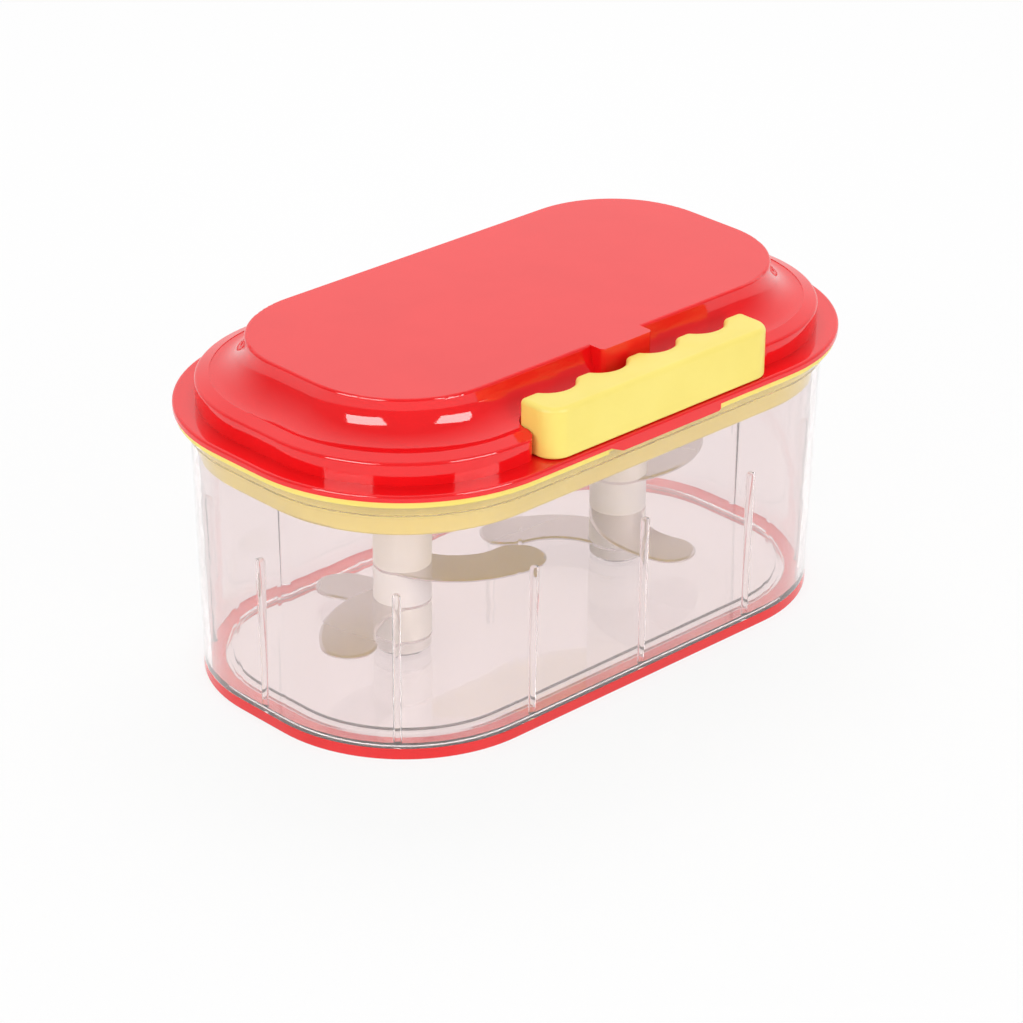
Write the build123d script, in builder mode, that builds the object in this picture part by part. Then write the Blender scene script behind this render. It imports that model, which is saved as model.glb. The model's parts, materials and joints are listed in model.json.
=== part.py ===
# Two-spindle pull-cord vegetable chopper, in millimetres.
# The origin is the centre of the footprint. +X runs along the bowl, -Y is the handle's side, +Z is up.
import os
from math import acos, asin, cos, degrees, pi, radians, sin, sqrt, tan

from build123d import *

os.makedirs("parts", exist_ok=True)

# Plan outline at the lid's flange. Every other level is this outline drawn in by an inset.
length = 200.0
width = 120.0
end_flat = 18.0

# Base ring
ring_h = 3.5
ring_w = 6.0
ring_round = 0.6

# Container
container_h = 74.2
foot_inset = 6.3
mouth_inset = 4.5
wall = 2.0
floor_t = 1.0
lip_out = 1.2
lip_h = 3.4
panel_in = 8.6
panel_h = 0.8
panel_round = 0.5
spigot_w = 1.0
spigot_h = 1.5
rib_h = 45.5
rib_w = 2.2
rib_depth = 2.6
rib_round = 1.6
rib_nose_r = 1.0
rib_pitch = 42.0
pivot_boss_r = 7.0
pivot_boss_h = 0.7

# Lid tray
tray_rim_t = 2.06
tray_rim_inset = 0.6
tray_rim_round = 0.6
plug_round = 1.0
tray_wall = 2.0
tray_floor_t = 2.0
plug_h = 10.8

# Cover
flange_t = 1.84
flange_round = 0.8
shelf_h = 7.4
dome_h = 10.8
cover_wall = 2.0
side_inset = 6.2
bead_w = 4.1
bead_h = 0.12
bead_slope = 3.9
bead_drop = 1.3
bead_round = 1.0
plateau_inset = 20.0
plateau_round = 0.8
tab_half = 21.0
tab_lead = 4.5
tab_drop = 2.0
tab_t = 1.8
tab_round = 0.8

# Handle and its recess in the cover
handle_len = 84.4
handle_h = 14.6
handle_t = 13.2
handle_inset = 0.6
handle_corner_r = 6.0
handle_edge_r = 1.5
handle_foot_r = 0.8
handle_end = 4.2
groove_count = 4
groove_depth = 4.0
bump_half = 2.4
bump_round = 1.8
recess_gap = 0.4
recess_inset = 15.4
recess_corner_r = 4.0
recess_mouth_r = 3.0
outlet_half = 9.5
outlet_round = 1.5

# Pull cord
cord_d = 2.2
cord_turns = 4
cord_turn_pitch = 2.5
cord_height = 5.4
cord_bend_r = 7.0
knot_r = 2.4
eyelet_bore_r = 1.6
eyelet_r = 3.2
eyelet_flange_r = 4.3
eyelet_flange_t = 1.0
eyelet_len = 6.0
eyelet_flare = 1.3

# Gears
module_mm = 1.5
drive_teeth = 34
output_teeth = 22
pressure_angle = 20.0
backlash = 0.3
gear_t = 6.0
flank_steps = 4

# Drum, clutch and spring
axle_r = 3.0
axle_end_gap = 0.6
drum_core_r = 15.2
drum_flange_r = 21.5
drum_flange_t = 1.5
drum_wall = 1.8
drum_hub_af = 12.0
ratchet_teeth = 12
ratchet_root_r = 22.0
ratchet_tip_r = 20.0
ratchet_rim = 1.5
ratchet_h = 4.0
clutch_disc_r = 11.0
finger_w = 2.4
finger_sweep = 65.0
finger_tip_in = 0.1
spring_turns = 5
spring_t = 0.4
spring_h = 8.0

# Output shafts
journal_r = 6.0
stub_r = 3.5
stub_h = 8.0
driver_af = 9.0
driver_len = 11.0
bush_r = 8.0
bush_flange_r = 9.5
bush_flange_t = 0.8

# Spindles and blades
post_r = 8.25
foot_r = 8.0
foot_h = 3.2
foot_web = 1.0
collar_h = 10.0
blade_t = 0.8
blade_gap = 2.3
blade_w = 15.5
blade_bow = 5.6
bevel_w = 0.7
bevel_t = 0.35
core_af = 9.0
pivot_r = 2.0
pivot_depth = 9.0
blade_step = 120.0
left_phase = 321.0
right_phase = 12.0

# Cover screws
screw_end = 38.0
screw_side = 32.0
screw_r = 1.5
screw_len = 12.0
screw_head_r = 3.0
screw_head_t = 1.6
screw_boss_r = 4.0

# Clearances
seat_gap = 0.2
plug_gap = 0.35
run_gap = 0.3
shaft_gap = 0.06
fit_gap = 0.05
socket_gap = 0.15

# Levels, from the table up
floor_z = ring_h + floor_t
rim_z = ring_h + container_h
tray_rim_z = rim_z + seat_gap
flange_z = tray_rim_z + tray_rim_t
flange_top = flange_z + flange_t
shelf_z = flange_top + shelf_h
top_z = shelf_z + dome_h
roof_z = top_z - cover_wall
tray_z = tray_rim_z - plug_h
tray_floor_z = tray_z + tray_floor_t
gear_z = tray_floor_z + run_gap
gear_top = gear_z + gear_t
handle_z = flange_top + run_gap
cord_z = handle_z + cord_height

# Places in plan
corner_r = (width - end_flat) / 2
draft = (foot_inset - mouth_inset) / container_h
plug_inset = mouth_inset + wall + draft * (rim_z - tray_z) + plug_gap
recess_y = -width / 2 + recess_inset
recess_half = handle_len / 2 + recess_gap
handle_front = -width / 2 + handle_inset
handle_back = handle_front + handle_t
groove_pitch = (handle_len - 2 * handle_end) / groove_count
spindle_x = module_mm * (drive_teeth + output_teeth) / 2
screw_x = length / 2 - screw_end
screw_y = width / 2 - screw_side


def outline(inset):
    """Add the plan outline, drawn in by an inset, to the sketch."""
    RectangleRounded(length - 2 * inset, width - 2 * inset, corner_r - inset)


def wall_inset(z):
    """Inset of the container's outer wall at a height."""
    return foot_inset - draft * (z - ring_h)


def hexagon(across_flats):
    """Add a hexagon to the sketch, sized across its flats."""
    RegularPolygon(across_flats / 2, 6, major_radius=False)


def polar(radius, angle):
    """Point at a radius and an angle in degrees."""
    return (radius * cos(radians(angle)), radius * sin(radians(angle)))


def involute(angle):
    """Involute function of an angle in radians."""
    return tan(angle) - angle


def gear_points(teeth):
    """Outline of a spur gear, with a tooth centred on +X."""
    pitch_r = module_mm * teeth / 2
    base_r = pitch_r * cos(radians(pressure_angle))
    tip_r = pitch_r + module_mm
    root_r = pitch_r - 1.25 * module_mm
    half_pitch_tooth = pi / (2 * teeth) - backlash / (4 * pitch_r)
    half_base_tooth = half_pitch_tooth + involute(radians(pressure_angle))
    start_r = max(base_r, root_r)
    flank = [(root_r, half_base_tooth)]
    for step in range(flank_steps):
        radius = start_r + (tip_r - start_r) * step / (flank_steps - 1)
        flank.append((radius, half_base_tooth - involute(acos(base_r / radius))))
    points = []
    for tooth in range(teeth):
        centre = 2 * pi * tooth / teeth
        rising = [(radius, centre - half) for radius, half in flank]
        falling = [(radius, centre + half) for radius, half in reversed(flank)]
        points += [polar(radius, degrees(angle)) for radius, angle in rising + falling]
    return points


def ratchet_points():
    """Outline of the clutch's inner saw teeth, with one driving face on +X."""
    pitch = 360 / ratchet_teeth
    points = []
    for tooth in range(ratchet_teeth):
        points.append(polar(ratchet_root_r, tooth * pitch))
        points.append(polar(ratchet_tip_r, tooth * pitch))
    return points


# Base ring
with BuildPart() as base_ring:
    with BuildSketch():
        outline(foot_inset)
        with BuildSketch(mode=Mode.SUBTRACT):
            outline(foot_inset + ring_w)
    extrude(amount=ring_h - fit_gap)
    fillet(base_ring.edges().group_by(Axis.Z)[0], radius=ring_round)
base_ring.part.label = "base_ring"
export_step(base_ring.part, "parts/base_ring.step")

# Places and directions of the container's inner ribs
rib_top_z = floor_z + rib_h
rib_root = (wall_inset(floor_z) + wall_inset(rib_top_z) + wall) / 2
corner_x = length / 2 - corner_r
corner_y = width / 2 - corner_r
corner_reach = (corner_r - rib_root) / sqrt(2)
rib_planes = []
for side in (-1, 1):
    for along in (-rib_pitch, 0, rib_pitch):
        spot = (along, side * (width / 2 - rib_root), floor_z)
        rib_planes.append(Plane(spot, (0, -side, 0)))
    spot = (side * (length / 2 - rib_root), 0, floor_z)
    rib_planes.append(Plane(spot, (-side, 0, 0)))
    for end in (-1, 1):
        spot = (end * (corner_x + corner_reach), side * (corner_y + corner_reach), floor_z)
        rib_planes.append(Plane(spot, (-end, -side, 0)))

# One inner rib: an upright bar with a rounded nose and top, reaching into the bowl along +X
with BuildPart() as rib:
    with BuildSketch(Plane.XZ):
        with BuildLine():
            round_start = (rib_depth - rib_round, rib_h)
            round_end = (rib_depth, rib_h - rib_round)
            Polyline(round_end, (rib_depth, 0), (0, 0), (0, rib_h), round_start)
            RadiusArc(round_start, round_end, rib_round)
        make_face()
    extrude(amount=rib_w / 2, both=True)
    fillet(rib.edges().filter_by(Axis.Z).group_by(Axis.X)[-1], radius=rib_nose_r)

# Container: drafted wall, rim lip, floor with a raised panel, spigot for the base ring, pivot bosses and ribs
spindle_spots = [(-spindle_x, 0), (spindle_x, 0)]

with BuildPart() as container:
    with BuildSketch(Plane.XY.offset(ring_h)):
        outline(foot_inset)
    with BuildSketch(Plane.XY.offset(rim_z)):
        outline(mouth_inset)
    loft(ruled=True)
    with BuildSketch(Plane.XY.offset(rim_z - lip_h)):
        outline(mouth_inset - lip_out)
    extrude(amount=lip_h)
    with BuildSketch(Plane.XY.offset(floor_z)):
        outline(wall_inset(floor_z) + wall)
    with BuildSketch(Plane.XY.offset(rim_z)):
        outline(mouth_inset + wall)
    loft(ruled=True, mode=Mode.SUBTRACT)
    with BuildSketch(Plane.XY.offset(floor_z)):
        outline(foot_inset + panel_in)
    extrude(amount=panel_h)
    fillet(container.edges(Select.LAST).group_by(Axis.Z)[-1], radius=panel_round)
    with BuildSketch(Plane.XY.offset(ring_h)):
        outline(foot_inset + ring_w + seat_gap)
        with BuildSketch(mode=Mode.SUBTRACT):
            outline(foot_inset + ring_w + seat_gap + spigot_w)
    extrude(amount=-spigot_h)
    with BuildSketch(Plane.XY.offset(floor_z)):
        with Locations(spindle_spots):
            Circle(pivot_boss_r)
    extrude(amount=panel_h + pivot_boss_h)
    with Locations(rib_planes):
        add(rib.part)
    with BuildSketch(Plane.XY.offset(ring_h)):
        with Locations(spindle_spots):
            Circle(pivot_r + fit_gap)
    extrude(amount=floor_t + panel_h + pivot_boss_h, mode=Mode.SUBTRACT)
container.part.label = "container"
export_step(container.part, "parts/container.step")

# Lid tray: rim, plug skirt and floor, with the tab's notch and the holes for axle, bushes and screws
screw_spots = [(x, y) for x in (-screw_x, screw_x) for y in (-screw_y, screw_y)]

with BuildPart() as lid_tray:
    with BuildSketch(Plane.XY.offset(tray_rim_z)):
        outline(tray_rim_inset)
    extrude(amount=tray_rim_t)
    fillet(lid_tray.edges().group_by(Axis.Z)[0], radius=tray_rim_round)
    with BuildSketch(Plane.XY.offset(tray_z)):
        outline(plug_inset)
    extrude(amount=plug_h + tray_rim_t)
    fillet(lid_tray.edges().group_by(Axis.Z)[0], radius=plug_round)
    with BuildSketch(Plane.XY.offset(tray_floor_z)):
        outline(plug_inset + tray_wall)
    extrude(amount=flange_z - tray_floor_z, mode=Mode.SUBTRACT)
    with BuildSketch(Plane.XY.offset(flange_z)):
        with Locations((0, -width / 2)):
            Rectangle(2 * (tab_half + run_gap), 2 * (tab_t + run_gap))
    extrude(amount=-tray_rim_t, mode=Mode.SUBTRACT)
    with BuildSketch(Plane.XY.offset(tray_z)):
        Circle(axle_r + fit_gap)
        with Locations(spindle_spots):
            Circle(bush_r + fit_gap)
        with Locations(screw_spots):
            Circle(screw_r + socket_gap)
    extrude(amount=tray_floor_t, mode=Mode.SUBTRACT)
lid_tray.part.label = "lid_tray"
export_step(lid_tray.part, "parts/lid_tray.step")

# Levels of the drum stack, which the cover's bosses follow
ratchet_top = gear_top + ratchet_h
clutch_z = gear_top + run_gap
drum_z = ratchet_top + run_gap
winding_half = cord_turns * cord_turn_pitch / 2
drum_top = cord_z + winding_half + run_gap + drum_flange_t
axle_top = roof_z - axle_end_gap
stub_top = gear_top + stub_h

# Hollow of the cover, with the walls of the handle recess left standing
cove_r = plateau_inset - side_inset - bead_w - fit_gap

with BuildPart() as cover_hollow:
    with BuildSketch(Plane.XY.offset(flange_z)):
        outline(side_inset + cover_wall)
    extrude(amount=shelf_z - cover_wall - flange_z)
    with BuildSketch(Plane.XY.offset(shelf_z - cover_wall)):
        outline(plateau_inset + cover_wall)
    extrude(amount=dome_h)
    fillet(cover_hollow.edges(Select.LAST).group_by(Axis.Z)[0], radius=cove_r)
    with BuildSketch(Plane.XY.offset(flange_z)):
        with Locations((0, -width / 2)):
            Rectangle(2 * (recess_half + cover_wall), 2 * (recess_inset + cover_wall))
    extrude(amount=top_z - flange_z, mode=Mode.SUBTRACT)

# Cover: flange, side wall, sloped bead, cove and plateau, with the recess, cord outlet, front tab and bosses
mouth_y = -width / 2 + side_inset
outlet_depth = plateau_inset - recess_inset + cover_wall

with BuildPart() as cover:
    with BuildSketch(Plane.XY.offset(flange_z)):
        outline(0)
    extrude(amount=flange_t)
    fillet(cover.edges().group_by(Axis.Z)[-1], radius=flange_round)
    with BuildSketch(Plane.XY.offset(flange_z)):
        outline(side_inset)
    extrude(amount=flange_t + shelf_h + bead_h)
    shelf_edge = cover.edges().group_by(Axis.Z)[-1]
    shelf_top = cover.faces().sort_by(Axis.Z)[-1]
    chamfer(shelf_edge, length=bead_slope, length2=bead_drop, reference=shelf_top)
    fillet(cover.edges().group_by(Axis.Z)[-3], radius=bead_round)
    with BuildSketch(Plane.XY.offset(shelf_z)):
        outline(side_inset + bead_w)
    extrude(amount=bead_h, mode=Mode.SUBTRACT)
    with BuildSketch(Plane.XY.offset(shelf_z)):
        outline(plateau_inset)
    extrude(amount=dome_h)
    fillet(cover.edges(Select.LAST).group_by(Axis.Z)[0], radius=cove_r)
    fillet(cover.edges().group_by(Axis.Z)[-1], radius=plateau_round)
    with BuildSketch(Plane.XY.offset(flange_top)):
        with BuildLine():
            mouth_start = (-recess_half, mouth_y + recess_mouth_r)
            mouth_end = (-recess_half - recess_mouth_r, mouth_y)
            recess_side = [(-recess_half, recess_y), mouth_start]
            FilletPolyline((0, recess_y), *recess_side, radius=recess_corner_r)
            RadiusArc(mouth_start, mouth_end, recess_mouth_r)
            Polyline(mouth_end, (mouth_end[0], -width / 2), (0, -width / 2))
            mirror(about=Plane.YZ)
        make_face()
    extrude(amount=shelf_h + dome_h, mode=Mode.SUBTRACT)
    with BuildSketch(Plane.XY.offset(flange_top)) as outlet_plan:
        with Locations((0, recess_y + outlet_depth / 2)):
            Rectangle(2 * outlet_half, outlet_depth)
        fillet(outlet_plan.vertices().group_by(Axis.Y)[0], radius=outlet_round)
    extrude(amount=top_z - flange_top)
    add(cover_hollow.part, mode=Mode.SUBTRACT)
    with BuildSketch(Plane((0, -width / 2, flange_z), (1, 0, 0), (0, -1, 0))) as tab_face:
        with BuildLine():
            tab_bottom = [(tab_lead - tab_half, -tab_drop), (tab_half, -tab_drop)]
            Polyline((-tab_half, 0), *tab_bottom, (tab_half, 0), close=True)
        make_face()
        fillet(tab_face.vertices().group_by(Axis.Y)[0], radius=tab_round)
    extrude(amount=-tab_t)
    with BuildSketch(Plane.XY.offset(tray_floor_z)):
        with Locations(screw_spots):
            Circle(screw_boss_r)
    extrude(amount=roof_z + cover_wall / 2 - tray_floor_z)
    with BuildSketch(Plane.XY.offset(gear_top + run_gap)):
        with Locations(spindle_spots):
            Circle(stub_r + cover_wall)
    extrude(amount=roof_z + cover_wall / 2 - gear_top - run_gap)
    with BuildSketch(Plane.XY.offset(drum_top + run_gap)):
        Circle(axle_r + cover_wall)
    extrude(amount=roof_z + cover_wall / 2 - drum_top - run_gap)
    with BuildSketch(Plane.XY.offset(tray_floor_z)):
        with Locations(screw_spots):
            Circle(screw_r + fit_gap)
    extrude(amount=screw_len - tray_floor_t + run_gap, mode=Mode.SUBTRACT)
    with BuildSketch(Plane.XY.offset(gear_top + run_gap)):
        with Locations(spindle_spots):
            Circle(stub_r + shaft_gap)
    extrude(amount=stub_h, mode=Mode.SUBTRACT)
    with BuildSketch(Plane.XY.offset(drum_top + run_gap)):
        Circle(axle_r + fit_gap)
    extrude(amount=axle_top - drum_top, mode=Mode.SUBTRACT)
    with BuildSketch(Plane((0, recess_y, cord_z), (1, 0, 0), (0, 1, 0))):
        Circle(eyelet_r + fit_gap)
    extrude(amount=eyelet_len, mode=Mode.SUBTRACT)
cover.part.label = "cover"
export_step(cover.part, "parts/cover.step")

# Eyelet: flanged ferrule in the cord outlet, flared towards the drum
with BuildPart() as cord_eyelet:
    with BuildSketch(Plane((0, recess_y, cord_z), (1, 0, 0), (0, 1, 0))):
        Circle(eyelet_r)
    extrude(amount=eyelet_len)
    with BuildSketch(Plane((0, recess_y, cord_z), (1, 0, 0), (0, 1, 0))):
        Circle(eyelet_flange_r)
    extrude(amount=-eyelet_flange_t)
    with BuildSketch(Plane((0, recess_y - eyelet_flange_t, cord_z), (1, 0, 0), (0, 1, 0))):
        Circle(eyelet_bore_r)
    extrude(amount=eyelet_len + eyelet_flange_t, mode=Mode.SUBTRACT)
    chamfer(cord_eyelet.edges().group_by(Axis.Y)[-1].sort_by(SortBy.RADIUS)[0], length=eyelet_flare)
    fillet(cord_eyelet.edges().group_by(Axis.Y)[0], radius=eyelet_flange_t / 3)
cord_eyelet.part.label = "cord_eyelet"
export_step(cord_eyelet.part, "parts/cord_eyelet.step")

# Handle: bar with rounded front corners, finger grooves behind, and a pocket for the cord's knot
groove_half = groove_pitch / 2 - bump_half
knot_y = (handle_front + handle_back) / 2
pocket_r = knot_r + run_gap

with BuildPart() as handle:
    with BuildSketch(Plane.XY.offset(handle_z)) as handle_plan:
        with BuildLine():
            corner = (-handle_len / 2, handle_back)
            here = corner
            for groove in range(groove_count):
                centre = (groove - (groove_count - 1) / 2) * groove_pitch
                start = (centre - groove_half, handle_back)
                end = (centre + groove_half, handle_back)
                Line(here, start)
                ThreePointArc(start, (centre, handle_back - groove_depth), end)
                here = end
            far = handle_len / 2
            Polyline(here, (far, handle_back), (far, handle_front), (-far, handle_front), corner)
        make_face()
        fillet(handle_plan.vertices().group_by(Axis.Y)[0], radius=handle_corner_r)
        fillet(handle_plan.vertices().group_by(Axis.Y)[-1], radius=bump_round)
    extrude(amount=handle_h)
    fillet(handle.edges().group_by(Axis.Z)[-1], radius=handle_edge_r)
    fillet(handle.edges().group_by(Axis.Z)[0], radius=handle_foot_r)
    with BuildSketch(Plane.XY.offset(handle_z)):
        with Locations((0, knot_y)):
            Circle(pocket_r)
    extrude(amount=cord_height + pocket_r, mode=Mode.SUBTRACT)
    with BuildSketch(Plane((0, knot_y, cord_z), (1, 0, 0), (0, 1, 0))):
        Circle(cord_d / 2 + run_gap)
    extrude(amount=handle_t, mode=Mode.SUBTRACT)
handle.part.label = "handle"
export_step(handle.part, "parts/handle.step")

with BuildPart() as cord_knot:
    with Locations((0, knot_y, cord_z)):
        Sphere(knot_r)
cord_knot.part.label = "cord_knot"
export_step(cord_knot.part, "parts/cord_knot.step")

# Cord: it leaves the drum's left side, bends in the eyelet's flare and runs straight into the handle
winding_r = drum_core_r + fit_gap + cord_d / 2
bend_y = recess_y + eyelet_len - eyelet_flare
lead_turn = asin(winding_r / -bend_y)
lead_len = sqrt(bend_y**2 - winding_r**2)
tail_len = sqrt((winding_r + cord_d + run_gap) ** 2 - winding_r**2)
lead_dir = Vector(-sin(lead_turn), cos(lead_turn), 0)
bend_spot = Vector(0, bend_y, cord_z)
tail_start = bend_spot + lead_dir * lead_len
tail_end = bend_spot + lead_dir * (lead_len - tail_len)

with BuildPart() as pull_cord:
    with BuildLine():
        FilletPolyline(tail_end, bend_spot, (0, knot_y + knot_r * 0.9, cord_z), radius=cord_bend_r)
    with BuildSketch(Plane(tail_end, z_dir=-lead_dir)):
        Circle(cord_d / 2)
    sweep()
pull_cord.part.label = "pull_cord"
export_step(pull_cord.part, "parts/pull_cord.step")

with BuildPart() as cord_winding:
    with BuildSketch(Plane.XY.offset(cord_z - winding_half)):
        Circle(winding_r + cord_d / 2)
        Circle(drum_core_r + fit_gap, mode=Mode.SUBTRACT)
    extrude(amount=2 * winding_half)
    with BuildSketch(Plane(tail_start, z_dir=-lead_dir)):
        Circle(cord_d / 2)
    extrude(amount=tail_len - fit_gap)
cord_winding.part.label = "cord_winding"
export_step(cord_winding.part, "parts/cord_winding.step")

# Drum: flanged core with a hex hub for the clutch plate below and a recess for the spring above
recess_r = drum_core_r - drum_wall
spring_floor_z = drum_z + drum_flange_t + drum_wall
spring_cover_z = drum_top - drum_flange_t

with BuildPart() as cord_drum:
    with BuildSketch(Plane.XY.offset(clutch_z)):
        hexagon(drum_hub_af)
    extrude(amount=drum_z - clutch_z)
    with BuildSketch(Plane.XY.offset(drum_z)):
        Circle(drum_core_r)
    extrude(amount=drum_top - drum_z)
    for flange_level in (drum_z, drum_top - drum_flange_t):
        with BuildSketch(Plane.XY.offset(flange_level)):
            Circle(drum_flange_r)
        extrude(amount=drum_flange_t)
    with BuildSketch(Plane.XY.offset(spring_floor_z)):
        Circle(recess_r)
    extrude(amount=drum_top - spring_floor_z, mode=Mode.SUBTRACT)
    with BuildSketch(Plane.XY.offset(spring_cover_z)):
        Circle(recess_r + drum_wall / 2)
    extrude(amount=drum_flange_t, mode=Mode.SUBTRACT)
    with BuildSketch(Plane.XY.offset(clutch_z)):
        Circle(axle_r + shaft_gap)
    extrude(amount=drum_top - clutch_z, mode=Mode.SUBTRACT)
cord_drum.part.label = "cord_drum"
export_step(cord_drum.part, "parts/cord_drum.step")

with BuildPart() as spring_cover:
    with BuildSketch(Plane.XY.offset(spring_cover_z)):
        Circle(recess_r + drum_wall / 2 - fit_gap)
        Circle(axle_r + shaft_gap, mode=Mode.SUBTRACT)
    extrude(amount=drum_flange_t)
spring_cover.part.label = "spring_cover"
export_step(spring_cover.part, "parts/spring_cover.step")

# Return spring: flat spiral of half circles about two centres, from the axle out to the drum's wall
spring_r = axle_r + fit_gap + spring_t / 2
spring_pitch = (recess_r - fit_gap - spring_t / 2 - spring_r) / spring_turns

with BuildPart() as return_spring:
    with BuildSketch(Plane.XY.offset(spring_floor_z + fit_gap)):
        with BuildLine():
            for half_turn in range(2 * spring_turns):
                centre = (spring_pitch / 2 * (half_turn % 2), 0)
                radius = spring_r + half_turn * spring_pitch / 2
                CenterArc(centre, radius + spring_t / 2, 180 * half_turn, 180)
                CenterArc(centre, radius - spring_t / 2, 180 * half_turn, 180)
            spring_end = spring_r + spring_turns * spring_pitch
            Line((spring_r - spring_t / 2, 0), (spring_r + spring_t / 2, 0))
            Line((spring_end - spring_t / 2, 0), (spring_end + spring_t / 2, 0))
        make_face()
    extrude(amount=spring_h)
return_spring.part.label = "return_spring"
export_step(return_spring.part, "parts/return_spring.step")

# Clutch plate: disc on the drum's hex hub, with two spring fingers that push the ratchet's driving faces
finger_gap = finger_w / 2 + socket_gap
finger_tip_r = ratchet_tip_r - finger_tip_in
finger_tip_angle = -degrees(asin(finger_gap / finger_tip_r))

with BuildPart() as clutch_plate:
    with BuildSketch(Plane.XY.offset(clutch_z)):
        Circle(clutch_disc_r)
        for turn in (0, 180):
            root = polar(clutch_disc_r - finger_w, turn - finger_sweep)
            middle = polar((clutch_disc_r + finger_tip_r) / 2, turn - finger_sweep / 2)
            tip = polar(finger_tip_r, turn + finger_tip_angle)
            with BuildLine(mode=Mode.PRIVATE):
                finger_line = ThreePointArc(root, middle, tip)
            SlotArc(finger_line, finger_w)
        with BuildSketch(mode=Mode.SUBTRACT):
            hexagon(drum_hub_af + 2 * fit_gap)
    extrude(amount=ratchet_h - run_gap)
clutch_plate.part.label = "clutch_plate"
export_step(clutch_plate.part, "parts/clutch_plate.step")

# Drive gear, with the ratchet ring on its upper face
with BuildPart() as drive_gear:
    with BuildSketch(Plane.XY.offset(gear_z)):
        with BuildLine():
            Polyline(gear_points(drive_teeth), close=True)
        make_face()
    extrude(amount=gear_t)
    with BuildSketch(Plane.XY.offset(gear_top)):
        Circle(ratchet_root_r + ratchet_rim)
        with BuildSketch(mode=Mode.SUBTRACT):
            with BuildLine():
                Polyline(ratchet_points(), close=True)
            make_face()
    extrude(amount=ratchet_h)
    with BuildSketch(Plane.XY.offset(gear_z)):
        Circle(axle_r + shaft_gap)
    extrude(amount=gear_t, mode=Mode.SUBTRACT)
drive_gear.part.label = "drive_gear"
export_step(drive_gear.part, "parts/drive_gear.step")

with BuildPart() as drum_axle:
    with BuildSketch(Plane.XY.offset(tray_z)):
        Circle(axle_r)
    extrude(amount=axle_top - tray_z)
    chamfer(drum_axle.edges().group_by(Axis.Z)[-1], length=axle_r / 6)
drum_axle.part.label = "drum_axle"
export_step(drum_axle.part, "parts/drum_axle.step")

# Cover screws, driven up through the tray floor into the cover's bosses
with BuildPart() as cover_screws:
    with BuildSketch(Plane.XY.offset(tray_z)):
        with Locations(screw_spots):
            Circle(screw_head_r)
    extrude(amount=-screw_head_t)
    fillet(cover_screws.edges().group_by(Axis.Z)[0], radius=screw_head_t / 2)
    with BuildSketch(Plane.XY.offset(tray_z)):
        with Locations(screw_spots):
            Circle(screw_r)
    extrude(amount=screw_len)
cover_screws.part.label = "cover_screws"
export_step(cover_screws.part, "parts/cover_screws.step")

# Levels of the spindle stack
foot_z = floor_z + panel_h + pivot_boss_h + run_gap
core_z = foot_z + foot_web
lower_blade_z = foot_z + foot_h
middle_blade_z = lower_blade_z + blade_t + collar_h
upper_blade_z = middle_blade_z + blade_t + collar_h
post_z = upper_blade_z + blade_t
post_top = tray_z - bush_flange_t - run_gap
driver_z = tray_z - driver_len
socket_depth = post_top - driver_z + run_gap
end_room = length / 2 - spindle_x - rib_root - rib_depth
side_room = width / 2 - rib_root - rib_depth
blade_reach = min(end_room, side_room, spindle_x) - blade_gap
blade_chord = blade_reach - blade_w / 2

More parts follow.
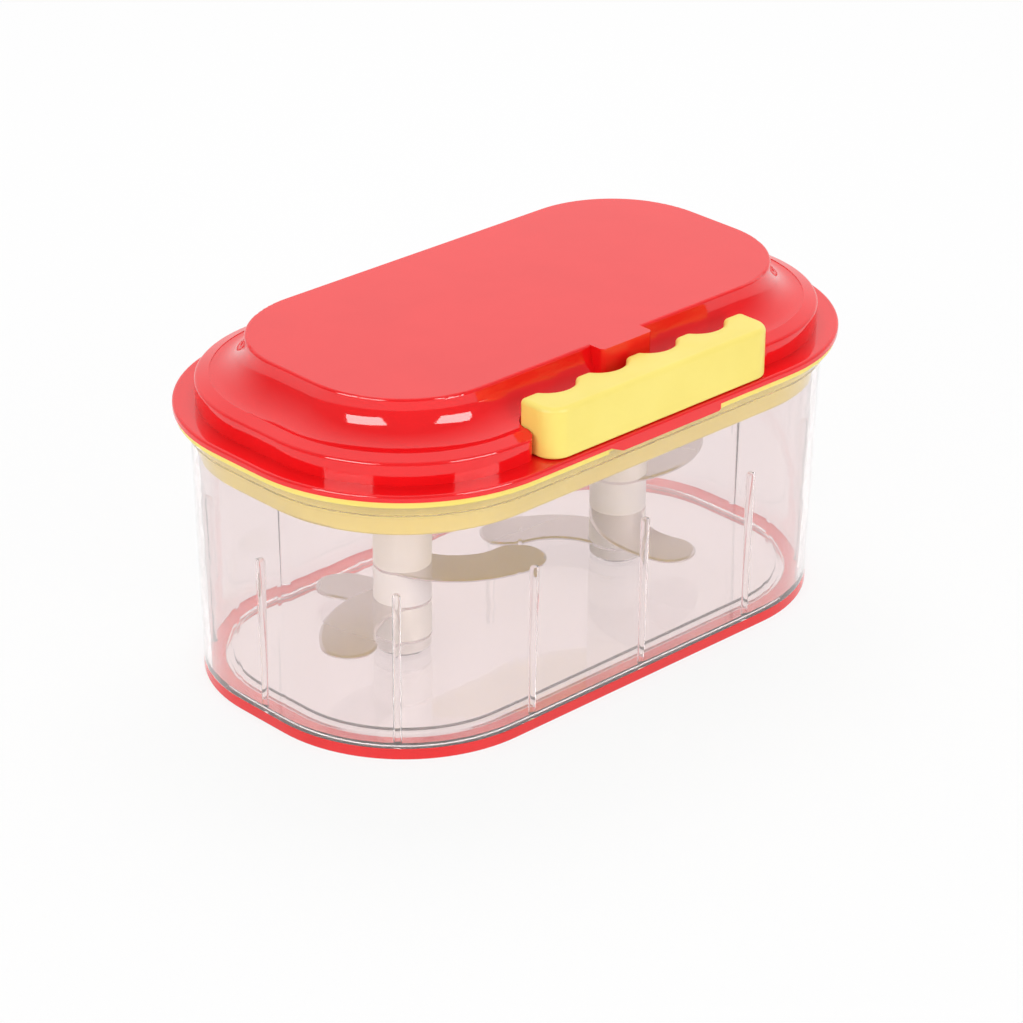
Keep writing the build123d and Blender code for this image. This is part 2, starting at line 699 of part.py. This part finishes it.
for side, x, phase in (("left", -spindle_x, left_phase), ("right", spindle_x, right_phase)):
    # Output gear: spur gear with a journal and hex driver below and a stub above
    with BuildPart() as output_gear:
        with BuildSketch(Plane((x, 0, gear_z), polar(1, 180 / output_teeth))):
            with BuildLine():
                Polyline(gear_points(output_teeth), close=True)
            make_face()
        extrude(amount=gear_t)
        with BuildSketch(Plane((x, 0, gear_top))):
            Circle(stub_r)
        extrude(amount=stub_h)
        with BuildSketch(Plane((x, 0, tray_z))):
            Circle(journal_r)
        extrude(amount=gear_z - tray_z)
        with BuildSketch(Plane((x, 0, driver_z))):
            hexagon(driver_af)
        extrude(amount=driver_len)
    output_gear.part.label = f"{side}_output_gear"
    export_step(output_gear.part, f"parts/{side}_output_gear.step")

    # Bush: flanged sleeve in the tray floor
    with BuildPart() as bush:
        with BuildSketch(Plane((x, 0, tray_z))):
            Circle(bush_r)
        extrude(amount=tray_floor_t)
        with BuildSketch(Plane((x, 0, tray_z))):
            Circle(bush_flange_r)
        extrude(amount=-bush_flange_t)
        with BuildSketch(Plane((x, 0, tray_z - bush_flange_t))):
            Circle(journal_r + shaft_gap)
        extrude(amount=bush_flange_t + tray_floor_t, mode=Mode.SUBTRACT)
    bush.part.label = f"{side}_bush"
    export_step(bush.part, f"parts/{side}_bush.step")

    # Pivot pin, pressed into the container's boss
    with BuildPart() as pivot_pin:
        with BuildSketch(Plane((x, 0, ring_h))):
            Circle(pivot_r)
        extrude(amount=core_z + pivot_depth - run_gap - ring_h)
        chamfer(pivot_pin.edges().group_by(Axis.Z)[-1], length=pivot_r / 3)
    pivot_pin.part.label = f"{side}_pivot_pin"
    export_step(pivot_pin.part, f"parts/{side}_pivot_pin.step")

    # Post: round upper post with the driver's socket, and a hex core that carries the stack
    with BuildPart() as post:
        with BuildSketch(Plane((x, 0, post_z))):
            Circle(post_r)
        extrude(amount=post_top - post_z)
        with BuildSketch(Plane((x, 0, core_z))):
            hexagon(core_af)
        extrude(amount=post_z - core_z)
        with BuildSketch(Plane((x, 0, post_top))):
            hexagon(driver_af + 2 * socket_gap)
        extrude(amount=-socket_depth, mode=Mode.SUBTRACT)
        with BuildSketch(Plane((x, 0, core_z))):
            Circle(pivot_r + shaft_gap)
        extrude(amount=pivot_depth, mode=Mode.SUBTRACT)
    post.part.label = f"{side}_post"
    export_step(post.part, f"parts/{side}_post.step")

    # Foot: end cap that clamps the stack and turns on the pivot pin
    with BuildPart() as foot:
        with BuildSketch(Plane((x, 0, foot_z))):
            Circle(foot_r)
        extrude(amount=foot_h)
        with BuildSketch(Plane((x, 0, core_z))):
            hexagon(core_af + 2 * fit_gap)
        extrude(amount=foot_h, mode=Mode.SUBTRACT)
        with BuildSketch(Plane((x, 0, foot_z))):
            Circle(pivot_r + shaft_gap)
        extrude(amount=foot_web, mode=Mode.SUBTRACT)
    foot.part.label = f"{side}_foot"
    export_step(foot.part, f"parts/{side}_foot.step")

    # Collars between the blades
    for level, collar_z in (("lower", lower_blade_z + blade_t), ("middle", middle_blade_z + blade_t)):
        with BuildPart() as collar:
            with BuildSketch(Plane((x, 0, collar_z))):
                Circle(post_r)
                with BuildSketch(mode=Mode.SUBTRACT):
                    hexagon(core_af + 2 * fit_gap)
            extrude(amount=collar_h)
        collar.part.label = f"{side}_{level}_collar"
        export_step(collar.part, f"parts/{side}_{level}_collar.step")

    # Sickle blades: a bowed arm on a round hub, bevelled along the leading convex edge
    blade_levels = (("upper", upper_blade_z), ("middle", middle_blade_z), ("lower", lower_blade_z))
    for step, (level, blade_z) in enumerate(blade_levels):
        with BuildPart() as blade:
            with BuildSketch(Plane((x, 0, blade_z), polar(1, phase - step * blade_step))):
                Circle(post_r)
                with BuildLine(mode=Mode.PRIVATE):
                    arm_line = ThreePointArc((0, 0), (blade_chord / 2, -blade_bow), (blade_chord, 0))
                SlotArc(arm_line, blade_w)
            extrude(amount=blade_t)
            top_face = blade.faces().sort_by(Axis.Z)[-1]
            leading_edge = top_face.edges().filter_by(GeomType.CIRCLE).sort_by(SortBy.RADIUS)[-1]
            chamfer(leading_edge, length=bevel_w, length2=bevel_t, reference=top_face)
            with BuildSketch(Plane((x, 0, blade_z))):
                hexagon(core_af + 2 * fit_gap)
            extrude(amount=blade_t, mode=Mode.SUBTRACT)
        blade.part.label = f"{side}_{level}_blade"
        export_step(blade.part, f"parts/{side}_{level}_blade.step")
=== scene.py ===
import json
from math import cos, pi, radians, sin

import bpy
import numpy as np
from mathutils import Matrix, Vector


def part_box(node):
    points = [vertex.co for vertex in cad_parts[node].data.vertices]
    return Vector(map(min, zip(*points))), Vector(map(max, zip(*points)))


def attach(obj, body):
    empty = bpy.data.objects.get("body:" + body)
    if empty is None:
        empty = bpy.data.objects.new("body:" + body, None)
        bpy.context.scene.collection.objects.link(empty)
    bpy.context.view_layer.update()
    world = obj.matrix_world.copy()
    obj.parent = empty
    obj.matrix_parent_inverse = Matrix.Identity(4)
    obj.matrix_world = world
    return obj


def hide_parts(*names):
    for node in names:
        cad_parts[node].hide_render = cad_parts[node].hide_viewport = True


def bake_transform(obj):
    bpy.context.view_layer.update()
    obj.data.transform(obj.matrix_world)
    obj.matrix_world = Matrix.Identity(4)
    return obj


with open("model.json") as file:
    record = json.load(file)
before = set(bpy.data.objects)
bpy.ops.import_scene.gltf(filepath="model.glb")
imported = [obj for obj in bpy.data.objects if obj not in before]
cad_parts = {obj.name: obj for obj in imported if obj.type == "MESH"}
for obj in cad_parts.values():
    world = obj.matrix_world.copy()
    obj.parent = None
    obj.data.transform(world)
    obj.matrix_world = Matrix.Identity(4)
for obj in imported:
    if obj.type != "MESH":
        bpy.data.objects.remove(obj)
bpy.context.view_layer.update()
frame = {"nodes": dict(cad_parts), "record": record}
nodes = frame["nodes"]

# Camera of the photograph: where it looks from, and its lens on a 36 mm sensor
VIEW_AZIMUTH = radians(-43.71)
VIEW_ELEVATION = radians(26.49)
VIEW_ROLL = radians(0.41)
VIEW_DISTANCE = 1.050
VIEW_TARGET = Vector((-0.0002, 0.0, 0.0324))
LENS_MM = 129.84

# Studio: white floor and sweep behind the object, and a dimmer room in front of it
STUDIO_WHITE = (1.0, 1.0, 1.0, 1.0)
FLOOR_GREY = (0.9, 0.9, 0.9, 1.0)
FLOOR_HALF = 3.0
FLOOR_GLOW = 0.85
FLOOR_POLISH = 0.1
FILL_STRENGTH = 0.62
ROOM_STRENGTH = 0.3
SWEEP_DIRECTION = (0.62, 0.65, 0.44)

# Lamps: on each side of the camera a soft box that only lights and a gloss box that only shines, and a broad
# soft box high behind. The gloss boxes stand high enough for the flat top not to mirror them in low views.
SIDE_AZIMUTHS = {"left": radians(-80), "right": radians(5)}
LAMP_DISTANCE = 1.0
GLOSS_DISTANCE = 0.97
SIDE_BOX = (0.50, 0.60)
SIDE_ELEVATION = radians(18)
SIDE_WATTS = 2.5
GLOSS_BOX = (0.50, 0.36)
GLOSS_ELEVATION = radians(33.5)
GLOSS_WATTS = 5.3
BACK_AZIMUTH = radians(137)
BACK_ELEVATION = radians(60)
BACK_BOX = (0.8, 0.6)
BACK_WATTS = 4.0

# Most bounces of a ray, enough for one that runs along inside the clear wall and floor
CLEAR_BOUNCES = 128

# Count of matt bounces that only a ray with none stays under
FIRST_BOUNCE = 0.5

# Pull cord: from the drum's tangent to the bend in the eyelet's flare, then straight into the handle
CORD_RADIUS = 0.0011
CORD_Z = 0.0875
CORD_BEND_Y = -0.0399
CORD_END_Y = -0.0506
CORD_LEAD_TURN = radians(24.19)
CORD_LEAD_LENGTH = 0.0270
CORD_BEND_HALF = 0.004
CORD_PULL = 0.30
CORD_SAMPLES = 4000
CORD_RINGS = 700
CORD_COLUMNS = 24
BRAID_PITCH = 0.006
BRAID_STRANDS = 4
BRAID_DEPTH = 0.16
BRAID_LIFT = 0.5

# Knot in the handle's pocket: its strand as a share of its radius, the angle left open at each end of the
# trefoil and the trefoil's reach, how far it is stretched along the cord, and how much finer its braid is
KNOT_Y = -0.0528
KNOT_RADIUS = 0.0024
KNOT_STRAND = 0.36
KNOT_OPENING = 0.25
KNOT_REACH = 3.0
KNOT_STRETCH = 1.5
KNOT_BRAID = 3
KNOT_RINGS = 220
KNOT_COLUMNS = 16

# Pan-head screws under the lid tray. The tip's radius and start are shares of the shank's, and the slope and
# run-out are the shares of the cross's width and reach over which its depth falls off.
SCREW_X = 0.062
SCREW_Y = 0.028
SCREW_HEAD_RADIUS = 0.003
SCREW_HEAD_HEIGHT = 0.0016
SCREW_SHANK_RADIUS = 0.0015
SCREW_SHANK_LENGTH = 0.012
SCREW_TIP_RADIUS = 0.2
SCREW_TIP_START = 0.85
CROSS_WIDTH = 0.0005
CROSS_REACH = 0.0017
CROSS_DEPTH = 0.0009
CROSS_SLOPE = 0.4
CROSS_RUN_OUT = 0.2
CROWN_START = 0.02
CROWN_FULLNESS = 0.6
CROWN_RINGS = 40
SCREW_COLUMNS = 64

# Part of a noise's range that a finish runs over
NOISE_LOW = 0.3
NOISE_HIGH = 0.7

# Cells per metre of the noises on moulded plastic, clear plastic and steel
DRIFT_SCALE = 45
SMUDGE_SCALE = 120
GRAIN_SCALE = 1400
CLEAR_SCALE = 30
STEEL_SCALE = 25

# Clear plastic: its tint, pink as painted reflection of the red lid and base, the tint of light let through
# to what is inside, and its gloss
CLEAR_TINT_AND_PAINTED_REFLECTION = (0.937, 0.868, 0.868, 1.0)
CLEAR_SHADOW = (0.99, 0.98, 0.98, 1.0)
CLEAR_GLOSS = (0.01, 0.02)

# Darkest tone of a steel, as a share of its lightest
STEEL_DRIFT = 0.95


def set_inputs(made, inputs):
    """Sets each named input of a node to a plain value, or links it to another node's output."""
    for name, value in inputs.items():
        socket = made.inputs[name]
        if isinstance(value, bpy.types.NodeSocket):
            made.id_data.links.new(value, socket)
        else:
            socket.default_value = value


def add(tree, kind, inputs=None, **settings):
    """Adds a shader node with its settings and inputs."""
    made = tree.nodes.new("ShaderNode" + kind)
    for name, value in settings.items():
        setattr(made, name, value)
    set_inputs(made, inputs or {})
    return made


def new_material(name):
    """An empty node material with its output, as (material, tree, output)."""
    material = bpy.data.materials.new(name)
    material.use_nodes = True
    tree = material.node_tree
    tree.nodes.clear()
    output = add(tree, "OutputMaterial")
    return material, tree, output


def object_noise(tree, scale, detail=2.0):
    """Noise over the piece, with its scale in cells per metre."""
    place = add(tree, "TexCoord").outputs["Object"]
    noise = add(tree, "TexNoise", {"Vector": place, "Scale": scale, "Detail": detail})
    return noise.outputs["Fac"]


def between(tree, share, low, high):
    """A number that runs from low to high as share runs over the middle of its noise."""
    made = add(tree, "MapRange", {"Value": share, "From Min": NOISE_LOW, "From Max": NOISE_HIGH,
                                  "To Min": low, "To Max": high})
    return made.outputs["Result"]


def shades(tree, share, dark, light):
    """A colour that runs from dark to light as share runs over the middle of its noise."""
    ramp = add(tree, "ValToRGB", {"Fac": share})
    ramp.color_ramp.elements[0].position = NOISE_LOW
    ramp.color_ramp.elements[0].color = (*dark, 1)
    ramp.color_ramp.elements[1].position = NOISE_HIGH
    ramp.color_ramp.elements[1].color = (*light, 1)
    return ramp.outputs["Color"]


def seen_ray(tree, *kinds):
    """1 for a camera ray or a ray of the named kinds, and 0 once it has left a matt surface."""
    path = add(tree, "LightPath")
    seen = path.outputs["Is Camera Ray"]
    for kind in kinds:
        named = path.outputs[f"Is {kind} Ray"]
        seen = add(tree, "Math", {0: seen, 1: named}, operation="MAXIMUM").outputs[0]
    depth = path.outputs["Diffuse Depth"]
    unlit = add(tree, "Math", {0: depth, 1: FIRST_BOUNCE}, operation="LESS_THAN")
    return add(tree, "Math", {0: seen, 1: unlit.outputs[0]}, operation="MULTIPLY").outputs[0]


def moulded(name, dark, light, gloss, **shader):
    """Moulded plastic: faint colour drift, smudged gloss and a fine grain."""
    material, tree, output = new_material(name)
    colour = shades(tree, object_noise(tree, DRIFT_SCALE, 3), dark, light)
    rough = between(tree, object_noise(tree, SMUDGE_SCALE, 4), *gloss)
    height = object_noise(tree, GRAIN_SCALE, 2)
    grain = add(tree, "Bump", {"Height": height, "Strength": 0.05, "Distance": 0.0001})
    surface = add(tree, "BsdfPrincipled", {"Base Color": colour, "Roughness": rough,
                                           "Normal": grain.outputs["Normal"]})
    set_inputs(surface, shader)
    set_inputs(output, {"Surface": surface.outputs["BSDF"]})
    return material


def clear_plastic():
    """Clear container plastic: faintly pink as painted reflection of the red lid and base, a little milky,
    and open to the light on what is inside.
    """
    material, tree, output = new_material("clear_plastic")
    rough = between(tree, object_noise(tree, CLEAR_SCALE, 0), *CLEAR_GLOSS)
    # The pink in the base colour is painted reflection of the red lid and base.
    glass = add(tree, "BsdfPrincipled", {"Base Color": CLEAR_TINT_AND_PAINTED_REFLECTION, "Roughness": rough, "IOR": 1.25,
                                         "Transmission Weight": 0.945, "Coat Weight": 1.0,
                                         "Coat Roughness": 0.03, "Coat IOR": 1.46})
    through = add(tree, "BsdfTransparent", {"Color": CLEAR_SHADOW})
    shadow = add(tree, "LightPath").outputs["Is Shadow Ray"]
    mix = add(tree, "MixShader", {0: shadow, 1: glass.outputs["BSDF"], 2: through.outputs["BSDF"]})
    set_inputs(output, {"Surface": mix.outputs["Shader"]})
    return material


def steel(name, tone, gloss):
    """Rolled steel: faint drift in its tone and smudges in its gloss."""
    material, tree, output = new_material(name)
    rough = between(tree, object_noise(tree, STEEL_SCALE, 0), *gloss)
    dark = tuple(STEEL_DRIFT * channel for channel in tone)
    colour = shades(tree, object_noise(tree, STEEL_SCALE, 0), dark, tone)
    surface = add(tree, "BsdfPrincipled", {"Base Color": colour, "Metallic": 1.0, "Roughness": rough})
    set_inputs(output, {"Surface": surface.outputs["BSDF"]})
    return material


def white_stage(name):
    """Stage white: matt under the lamps, a little polished in mirrored views, and lifted to white if seen."""
    material, tree, output = new_material(name)
    matt = add(tree, "BsdfDiffuse", {"Color": FLOOR_GREY})
    polish = add(tree, "BsdfGlossy", {"Color": STUDIO_WHITE, "Roughness": 0.2})
    glow = add(tree, "Emission", {"Color": STUDIO_WHITE, "Strength": 1.0})
    glossy = add(tree, "LightPath").outputs["Is Glossy Ray"]
    mirrored = add(tree, "Math", {0: glossy, 1: FLOOR_POLISH}, operation="MULTIPLY")
    top = add(tree, "MixShader", {0: mirrored.outputs[0], 1: matt.outputs["BSDF"],
                                  2: polish.outputs["BSDF"]})
    seen = seen_ray(tree, "Glossy", "Transmission")
    share = add(tree, "Math", {0: seen, 1: FLOOR_GLOW}, operation="MULTIPLY")
    mix = add(tree, "MixShader", {0: share.outputs[0], 1: top.outputs["Shader"],
                                  2: glow.outputs["Emission"]})
    set_inputs(output, {"Surface": mix.outputs["Shader"]})
    return material


FINISHES = {
    "clear_plastic": clear_plastic(),
    "red_plastic": moulded("red_plastic", (0.85, 0.005, 0.008), (0.885, 0.007, 0.010), (0.05, 0.065),
                           **{"Specular IOR Level": 0.65}),
    "yellow_plastic": moulded("yellow_plastic", (0.92, 0.75, 0.16), (0.95, 0.79, 0.19), (0.3, 0.42)),
    "cream_plastic": moulded("cream_plastic", (0.90, 0.88, 0.82), (0.94, 0.92, 0.86), (0.36, 0.48)),
    "white_plastic": moulded("white_plastic", (0.93, 0.93, 0.92), (0.95, 0.95, 0.94), (0.34, 0.46)),
    "natural_plastic": moulded("natural_plastic", (0.82, 0.79, 0.76), (0.88, 0.85, 0.82), (0.4, 0.52)),
    "white_nylon": moulded("white_nylon", (0.85, 0.84, 0.80), (0.9, 0.89, 0.85), (0.42, 0.55)),
    "cord": moulded("cord", (0.75, 0.74, 0.70), (0.85, 0.84, 0.80), (0.7, 0.85)),
    "steel": steel("steel", (0.62, 0.61, 0.59), (0.25, 0.38)),
    "spring_steel": steel("spring_steel", (0.38, 0.39, 0.42), (0.3, 0.42)),
    # Blade steel's warm tan tone is partly steel and partly painted reflection of the coloured parts around
    # it.
    "blade_steel": steel("blade_steel", (0.72, 0.665, 0.645), (0.24, 0.3)),
}

for subpart in frame["record"]["subparts"]:
    piece = nodes[subpart["node"]]
    piece.data.materials.clear()
    piece.data.materials.append(FINISHES[subpart["material_slot"]])


def tube_points(line, side, radius, columns):
    """Rings of a tube: each point of a line plus its radius about the line, from a direction to its side."""
    along = np.gradient(line, axis=0)
    along /= np.linalg.norm(along, axis=1, keepdims=True)
    first = side - np.sum(side * along, axis=1, keepdims=True) * along
    first /= np.linalg.norm(first, axis=1, keepdims=True)
    second = np.cross(along, first)
    turn = np.linspace(0, 2 * pi, columns, endpoint=False)[None, :, None]
    spoke = np.cos(turn) * first[:, None] + np.sin(turn) * second[:, None]
    return line[:, None] + radius[..., None] * spoke


def grid_piece(name, points, slot):
    """A closed piece from rings of points: quads between one ring and the next, and a face on each end."""
    rows, columns = points.shape[:2]
    index = np.arange(rows * columns).reshape(rows, columns)
    onward = np.roll(index, -1, axis=1)
    quads = np.stack([index[:-1], onward[:-1], onward[1:], index[1:]], axis=-1).reshape(-1, 4).tolist()
    ends = [index[0, ::-1].tolist(), index[-1].tolist()]
    mesh = bpy.data.meshes.new(name)
    mesh.from_pydata(points.reshape(-1, 3).tolist(), [], quads + ends)
    mesh.polygons.foreach_set("use_smooth", np.r_[np.ones(len(quads), bool), np.zeros(len(ends), bool)])
    mesh.materials.append(FINISHES[slot])
    made = bpy.data.objects.new(name, mesh)
    bpy.context.scene.collection.objects.link(made)
    return made


def braid_radius(turn, length):
    """Radius of a braid: the higher of two crossing sets of ridges, cos squared round the cord and along it,
    where the cosine of their sum and difference lifts each ridge over and under in turn."""
    round_phase = BRAID_STRANDS * turn
    long_phase = 2 * pi * length / BRAID_PITCH
    over = (np.cos(round_phase) + np.cos(long_phase)) / 2
    right = np.cos((round_phase + long_phase) / 2) ** 2 * (1 + BRAID_LIFT * over)
    left = np.cos((round_phase - long_phase) / 2) ** 2 * (1 - BRAID_LIFT * over)
    return CORD_RADIUS * (1 - BRAID_DEPTH + BRAID_DEPTH * np.maximum(right, left) / (1 + BRAID_LIFT))


def spline_line(route):
    """Points along the smooth curve that a route's points control."""
    curve = bpy.data.curves.new("route", "CURVE")
    curve.dimensions = "3D"
    curve.resolution_u = 24
    spline = curve.splines.new("NURBS")
    spline.points.add(len(route) - 1)
    spline.points.foreach_set("co", np.c_[np.array(route), np.ones(len(route))].ravel())
    spline.order_u = 3
    spline.use_endpoint_u = True
    holder = bpy.data.objects.new("route", curve)
    mesh = bpy.data.meshes.new_from_object(holder)
    line = np.array([vertex.co for vertex in mesh.vertices])
    bpy.data.objects.remove(holder)
    bpy.data.curves.remove(curve)
    bpy.data.meshes.remove(mesh)
    return line


def make_pull_cord():
    """Braided cord along its route. The stretch outside the eyelet is drawn out by the pull, so its rings are
    spaced evenly in the cord's pulled length: arc length, plus the pull times the smooth step from the eyelet
    to the handle."""
    lead = np.array((-sin(CORD_LEAD_TURN), cos(CORD_LEAD_TURN), 0.0))
    bend = np.array((0.0, CORD_BEND_Y, CORD_Z))
    end = np.array((0.0, CORD_END_Y, CORD_Z))
    before = bend + lead * CORD_BEND_HALF
    after = bend - (0.0, CORD_BEND_HALF, 0.0)
    line = spline_line([bend + lead * CORD_LEAD_LENGTH, before, bend, after, end])
    arc = np.r_[0, np.cumsum(np.linalg.norm(np.diff(line, axis=0), axis=1))]
    fine = np.linspace(0, arc[-1], CORD_SAMPLES)
    y = np.interp(fine, arc, line[:, 1])
    step = np.clip((CORD_BEND_Y - y) / (CORD_BEND_Y - CORD_END_Y), 0, 1)
    pulled = fine + CORD_PULL * step**2 * (3 - 2 * step)
    length = np.linspace(0, pulled[-1], CORD_RINGS)
    at = np.interp(length, pulled, fine)
    centre = np.stack([np.interp(at, arc, line[:, axis]) for axis in range(3)], axis=1)
    turn = np.linspace(0, 2 * pi, CORD_COLUMNS, endpoint=False)[None]
    radius = braid_radius(turn, length[:, None])
    points = tube_points(centre, np.array((0.0, 0.0, 1.0)), radius, CORD_COLUMNS)
    cord = grid_piece("braided_cord", points, "cord")
    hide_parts("pull_cord")
    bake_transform(cord)


def make_knot():
    """Overhand knot: a tube along an open trefoil, sized to the handle's pocket."""
    t = np.linspace(KNOT_OPENING, 2 * pi - KNOT_OPENING, KNOT_RINGS)
    x = np.sin(t) + 2 * np.sin(2 * t)
    y = -np.sin(3 * t)
    z = np.cos(t) - 2 * np.cos(2 * t)
    strand = KNOT_RADIUS * KNOT_STRAND
    line = np.stack([x, y, z], axis=1) * (KNOT_RADIUS - strand) / KNOT_REACH
    line[:, 1] *= KNOT_STRETCH
    line += (0.0, KNOT_Y, CORD_Z)
    turn = np.linspace(0, 2 * pi, KNOT_COLUMNS, endpoint=False)[None]
    length = np.r_[0, np.cumsum(np.linalg.norm(np.diff(line, axis=0), axis=1))][:, None]
    radius = braid_radius(turn, length * KNOT_BRAID) * strand / CORD_RADIUS
    points = tube_points(line, np.array((0.0, 1.0, 0.0)), radius, KNOT_COLUMNS)
    knot = grid_piece("overhand_knot", points, "cord")
    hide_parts("cord_knot")
    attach(knot, "handle")


def make_screws():
    """Pan-head screws: rings of a turned profile from the head's crown to the shank's end, with the crown
    lifted along Z by a cross recess, whose depth falls off towards its arms' width and reach."""
    base_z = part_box("cover_screws")[0][2] + SCREW_HEAD_HEIGHT
    crown = np.linspace(CROWN_START, 1, CROWN_RINGS)
    head_r = SCREW_HEAD_RADIUS * np.sin(crown * pi / 2)
    head_z = -SCREW_HEAD_HEIGHT * np.cos(crown * pi / 2) ** CROWN_FULLNESS
    tip_r = SCREW_SHANK_RADIUS * SCREW_TIP_RADIUS
    shank_r = np.array([SCREW_HEAD_RADIUS, SCREW_SHANK_RADIUS, SCREW_SHANK_RADIUS, tip_r])
    shank_z = np.array([0.0, 0.0, SCREW_SHANK_LENGTH * SCREW_TIP_START, SCREW_SHANK_LENGTH])
    profile_r = np.r_[head_r, shank_r][:, None]
    profile_z = np.r_[head_z, shank_z][:, None]
    turn = np.linspace(0, 2 * pi, SCREW_COLUMNS, endpoint=False)[None]
    x = profile_r * np.cos(turn)
    y = profile_r * np.sin(turn)
    arm = np.minimum(np.abs(x), np.abs(y))
    reach = np.maximum(np.abs(x), np.abs(y))
    across = np.clip((CROSS_WIDTH - arm) / (CROSS_SLOPE * CROSS_WIDTH), 0, 1)
    along = np.clip((CROSS_REACH - reach) / (CROSS_RUN_OUT * CROSS_REACH), 0, 1)
    z = profile_z + CROSS_DEPTH * across * along * (profile_z < 0)
    for place, (sx, sy) in enumerate(((-1, -1), (1, -1), (-1, 1), (1, 1))):
        points = np.stack([x + sx * SCREW_X, y + sy * SCREW_Y, z + base_z], axis=-1)
        screw = grid_piece(f"cover_screw_{place + 1}", points, "steel")
        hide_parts("cover_screws")
        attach(screw, "lid")


make_pull_cord()
make_knot()
make_screws()


def make_floor():
    """A square white floor at the object's foot."""
    corners = FLOOR_HALF * np.array([(-1, -1, 0), (1, -1, 0), (1, 1, 0), (-1, 1, 0)], float)
    mesh = bpy.data.meshes.new("floor")
    mesh.from_pydata(corners.tolist(), [], [(0, 1, 2, 3)])
    mesh.materials.append(white_stage("stage_white"))
    floor = bpy.data.objects.new("floor", mesh)
    bpy.context.scene.collection.objects.link(floor)


def make_world():
    """White where it is seen, a dimmer room in front of the object for glosses, and a soft fill as light."""
    world = bpy.data.worlds.new("studio")
    world.use_nodes = True
    tree = world.node_tree
    tree.nodes.clear()
    glossy = add(tree, "LightPath").outputs["Is Glossy Ray"]
    way = add(tree, "TexCoord").outputs["Generated"]
    facing = add(tree, "VectorMath", {0: way, 1: SWEEP_DIRECTION}, operation="DOT_PRODUCT")
    sweep = add(tree, "MapRange", {"Value": facing.outputs["Value"], "From Min": 0.1, "From Max": 0.8,
                                   "To Min": ROOM_STRENGTH, "To Max": 1.0})
    room = add(tree, "Mix", {"Factor": glossy, "A": FILL_STRENGTH, "B": sweep.outputs["Result"]})
    seen = seen_ray(tree, "Transmission")
    strength = add(tree, "Mix", {"Factor": seen, "A": room.outputs["Result"], "B": 1.0})
    light = add(tree, "Background", {"Color": STUDIO_WHITE, "Strength": strength.outputs["Result"]})
    output = add(tree, "OutputWorld")
    set_inputs(output, {"Surface": light.outputs["Background"]})
    bpy.context.scene.world = world


def direction(azimuth, elevation):
    """Unit direction from the object, with azimuth 0 towards the handle's side."""
    return Vector((sin(azimuth) * cos(elevation), -cos(azimuth) * cos(elevation), sin(elevation)))


def make_lamp(name, azimuth, elevation, distance, size, watts, diffuse=True, glossy=True):
    """A box of a width and height, in a direction from the object and turned to face it. It lights matt
    surfaces, shines in glossy ones, or both, and is never seen through the clear wall."""
    lamp = bpy.data.lights.new(name, "AREA")
    lamp.shape = "RECTANGLE"
    lamp.size, lamp.size_y = size
    lamp.energy = watts
    lamp.cycles.use_multiple_importance_sampling = glossy
    lamp_object = bpy.data.objects.new(name, lamp)
    away = direction(azimuth, elevation)
    lamp_object.visible_diffuse = diffuse
    lamp_object.visible_transmission = False
    lamp_object.visible_glossy = glossy
    lamp_object.location = VIEW_TARGET + distance * away
    lamp_object.rotation_euler = (-away).to_track_quat("-Z", "Y").to_euler()
    bpy.context.scene.collection.objects.link(lamp_object)


def make_camera():
    """The photograph's camera, turned about its own axis by the photograph's small roll."""
    back = direction(VIEW_AZIMUTH, VIEW_ELEVATION)
    right = Vector((0, 0, 1)).cross(back).normalized()
    up = back.cross(right)
    rolled_right = cos(VIEW_ROLL) * right + sin(VIEW_ROLL) * up
    rolled_up = cos(VIEW_ROLL) * up - sin(VIEW_ROLL) * right
    lens = bpy.data.cameras.new("camera")
    lens.sensor_width = 36.0
    lens.lens = LENS_MM
    camera = bpy.data.objects.new("camera", lens)
    turn = Matrix((rolled_right, rolled_up, back)).transposed().to_4x4()
    camera.matrix_world = Matrix.Translation(VIEW_TARGET + VIEW_DISTANCE * back) @ turn
    bpy.context.scene.collection.objects.link(camera)
    bpy.context.scene.camera = camera


make_floor()
make_world()
for side, azimuth in SIDE_AZIMUTHS.items():
    make_lamp(f"{side}_soft_box", azimuth, SIDE_ELEVATION, LAMP_DISTANCE, SIDE_BOX, SIDE_WATTS,
              glossy=False)
    make_lamp(f"{side}_gloss_box", azimuth, GLOSS_ELEVATION, GLOSS_DISTANCE, GLOSS_BOX, GLOSS_WATTS,
              diffuse=False)
make_lamp("back_soft_box", BACK_AZIMUTH, BACK_ELEVATION, LAMP_DISTANCE, BACK_BOX, BACK_WATTS, glossy=False)
make_camera()
bpy.context.scene.view_settings.view_transform = "Standard"
bpy.context.scene.cycles.max_bounces = CLEAR_BOUNCES
bpy.context.scene.cycles.transmission_bounces = CLEAR_BOUNCES
